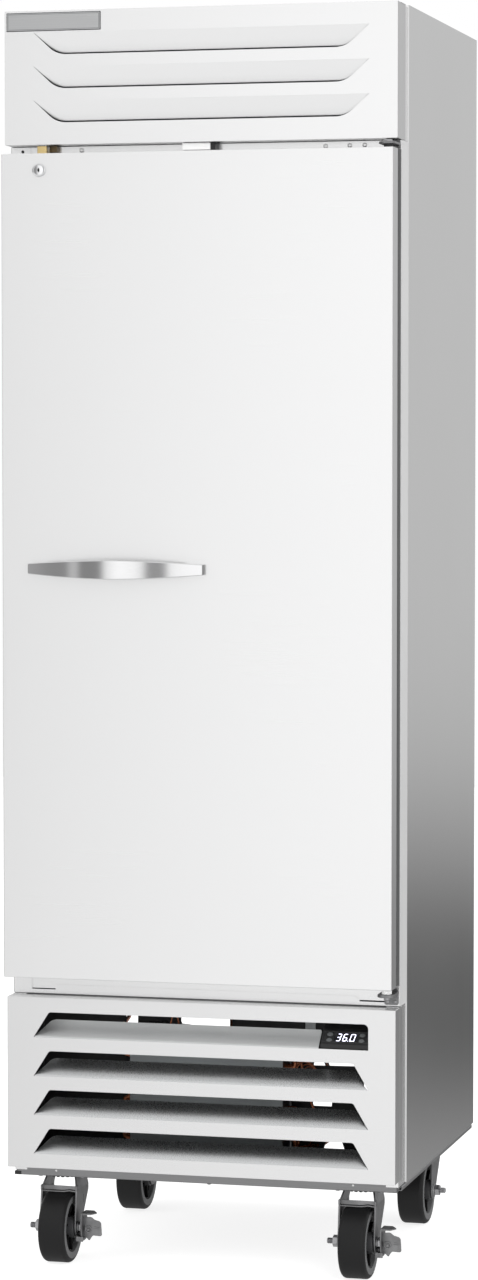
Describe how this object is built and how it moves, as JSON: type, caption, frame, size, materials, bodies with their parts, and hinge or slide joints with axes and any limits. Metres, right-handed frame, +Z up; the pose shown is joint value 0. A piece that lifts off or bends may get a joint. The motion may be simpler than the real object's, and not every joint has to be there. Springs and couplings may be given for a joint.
{
  "type": "reach in refrigerator",
  "caption": "Tall single-door commercial reach-in refrigerator with louvred header, bow handle, slotted lower grille with digital controller, and swivel casters.",
  "frame": {"origin": "on the floor, under the centre of the bounding box (the cabinet's centre line in X, and mid-way between the handle's front and the cabinet's back in Y)", "axes": "+Z up; the door faces -Y; +X is the hinge side, on the right of someone facing the door"},
  "size_m": [0.692, 0.77, 2.1817],
  "materials": {
    "stainless_side": "satin brushed",
    "stainless_back": "satin brushed",
    "front_steel": "satin",
    "white_plastic": "satin",
    "foam": "matte",
    "liner_aluminium": "satin",
    "galvanised": "satin",
    "black_plastic": "matte",
    "button_grey": "matte",
    "shelf_wire": "satin",
    "fin_aluminium": "satin",
    "lens": "satin",
    "hinge_zinc": "satin",
    "gasket": "matte",
    "handle_steel": "satin",
    "lock_chrome": "polished",
    "brass": "satin",
    "compressor_black": "satin",
    "condenser_grey": "satin",
    "shroud_black": "matte",
    "motor_dark": "matte",
    "fan_blade": "satin",
    "electrical": "satin",
    "copper": "satin",
    "caster_zinc": "satin",
    "caster_bolt": "satin",
    "caster_tread": "matte"
  },
  "bodies": {
    "cabinet": {"left_side_panel": "stainless_side", "right_side_panel": "stainless_side", "top_back_panel": "stainless_back", "front_frame": "white_plastic", "foam_insulation": "foam", "interior_liner": "liner_aluminium", "base_frame": "galvanised", "header_panel": "front_steel", "front_grille": "front_steel", "controller_housing": "black_plastic", "wire_shelf_lower": "shelf_wire", "wire_shelf_middle": "shelf_wire", "wire_shelf_upper": "shelf_wire", "evaporator_cover": "liner_aluminium", "evaporator_coil": "fin_aluminium", "evaporator_fan_motor": "motor_dark", "interior_light": "lens", "top_hinge_bracket": "hinge_zinc", "top_hinge_pin": "hinge_zinc", "bottom_hinge_bracket": "hinge_zinc", "bottom_hinge_pin": "hinge_zinc", "door_switch": "white_plastic", "compressor": "compressor_black", "condenser_coil": "condenser_grey", "fan_shroud": "shroud_black", "condenser_fan_motor": "motor_dark", "condensate_pan": "fin_aluminium", "electrical_box": "electrical", "suction_line": "copper", "caster_plate_front_left": "caster_zinc", "caster_plate_front_right": "caster_zinc", "caster_plate_rear_left": "caster_zinc", "caster_plate_rear_right": "caster_zinc"},
    "door": {"door_outer_skin": "front_steel", "door_foam": "foam", "door_inner_panel": "white_plastic", "door_gasket": "gasket", "door_handle": "handle_steel"},
    "key_barrel": {"lock_cylinder": "lock_chrome"},
    "bolt_slide": {"lock_bolt": "brass"},
    "evaporator_fan": {"evaporator_fan_blade": "fan_blade"},
    "condenser_fan": {"condenser_fan_blade": "fan_blade"},
    "push_upper_left": {"button_upper_left": "button_grey"},
    "push_lower_left": {"button_lower_left": "button_grey"},
    "push_upper_right": {"button_upper_right": "button_grey"},
    "push_lower_right": {"button_lower_right": "button_grey"},
    "swivel_front_left": {"caster_fork_front_left": "caster_zinc", "caster_axle_front_left": "caster_bolt"},
    "wheel_front_left": {"caster_wheel_front_left": "caster_tread"},
    "brake_front_left": {"brake_lever_front_left": "caster_zinc"},
    "swivel_front_right": {"caster_fork_front_right": "caster_zinc", "caster_axle_front_right": "caster_bolt"},
    "wheel_front_right": {"caster_wheel_front_right": "caster_tread"},
    "brake_front_right": {"brake_lever_front_right": "caster_zinc"},
    "swivel_rear_left": {"caster_fork_rear_left": "caster_zinc", "caster_axle_rear_left": "caster_bolt"},
    "wheel_rear_left": {"caster_wheel_rear_left": "caster_tread"},
    "swivel_rear_right": {"caster_fork_rear_right": "caster_zinc", "caster_axle_rear_right": "caster_bolt"},
    "wheel_rear_right": {"caster_wheel_rear_right": "caster_tread"}
  },
  "joints": [
    {"name": "door_hinge", "type": "hinge", "parent": "cabinet", "child": "door", "pos_m": [0.332, -0.318, 1.2231], "axis": [0, 0, 1], "range_deg": [0, 120]},
    {"name": "lock_turn", "type": "hinge", "parent": "door", "child": "key_barrel", "pos_m": [-0.2759, -0.33, 1.9052], "axis": [0, 1, 0], "range_deg": [0, 90]},
    {"name": "lock_throw", "type": "slide", "parent": "door", "child": "bolt_slide", "axis": [0, 0, 1], "range_m": [0, 0.008]},
    {"name": "press_upper_left", "type": "slide", "parent": "cabinet", "child": "push_upper_left", "axis": [0, 0.7071, -0.7071], "range_m": [0, 0.0006], "stiffness_N_per_m": 300},
    {"name": "press_lower_left", "type": "slide", "parent": "cabinet", "child": "push_lower_left", "axis": [0, 0.7071, -0.7071], "range_m": [0, 0.0006], "stiffness_N_per_m": 300},
    {"name": "press_upper_right", "type": "slide", "parent": "cabinet", "child": "push_upper_right", "axis": [0, 0.7071, -0.7071], "range_m": [0, 0.0006], "stiffness_N_per_m": 300},
    {"name": "press_lower_right", "type": "slide", "parent": "cabinet", "child": "push_lower_right", "axis": [0, 0.7071, -0.7071], "range_m": [0, 0.0006], "stiffness_N_per_m": 300},
    {"name": "evaporator_fan_spin", "type": "hinge", "parent": "cabinet", "child": "evaporator_fan", "pos_m": [0, -0.105, 2.029], "axis": [0, 1, 0], "continuous": true},
    {"name": "condenser_fan_spin", "type": "hinge", "parent": "cabinet", "child": "condenser_fan", "pos_m": [-0.0255, -0.093, 0.279], "axis": [0, 1, 0], "continuous": true},
    {"name": "swivel_front_left", "type": "hinge", "parent": "cabinet", "child": "swivel_front_left", "pos_m": [-0.2684, -0.217, 0.14], "axis": [0, 0, 1], "continuous": true},
    {"name": "roll_front_left", "type": "hinge", "parent": "swivel_front_left", "child": "wheel_front_left", "pos_m": [-0.2684, -0.252, 0.0625], "axis": [1, 0, 0], "continuous": true},
    {"name": "brake_front_left", "type": "hinge", "parent": "swivel_front_left", "child": "brake_front_left", "pos_m": [-0.2254, -0.252, 0.045], "axis": [0, 1, 0], "range_deg": [0, 20]},
    {"name": "swivel_front_right", "type": "hinge", "parent": "cabinet", "child": "swivel_front_right", "pos_m": [0.2684, -0.217, 0.14], "axis": [0, 0, 1], "continuous": true},
    {"name": "roll_front_right", "type": "hinge", "parent": "swivel_front_right", "child": "wheel_front_right", "pos_m": [0.2684, -0.252, 0.0625], "axis": [1, 0, 0], "continuous": true},
    {"name": "brake_front_right", "type": "hinge", "parent": "swivel_front_right", "child": "brake_front_right", "pos_m": [0.3114, -0.252, 0.045], "axis": [0, 1, 0], "range_deg": [0, 20]},
    {"name": "swivel_rear_left", "type": "hinge", "parent": "cabinet", "child": "swivel_rear_left", "pos_m": [-0.2684, 0.269, 0.14], "axis": [0, 0, 1], "continuous": true},
    {"name": "roll_rear_left", "type": "hinge", "parent": "swivel_rear_left", "child": "wheel_rear_left", "pos_m": [-0.2684, 0.234, 0.0625], "axis": [1, 0, 0], "continuous": true},
    {"name": "swivel_rear_right", "type": "hinge", "parent": "cabinet", "child": "swivel_rear_right", "pos_m": [0.2684, 0.269, 0.14], "axis": [0, 0, 1], "continuous": true},
    {"name": "roll_rear_right", "type": "hinge", "parent": "swivel_rear_right", "child": "wheel_rear_right", "pos_m": [0.2684, 0.234, 0.0625], "axis": [1, 0, 0], "continuous": true}
  ],
  "couplings": [
    {"joint": "lock_turn", "follows": "lock_throw", "rad_per_m": 196.34}
  ]
}
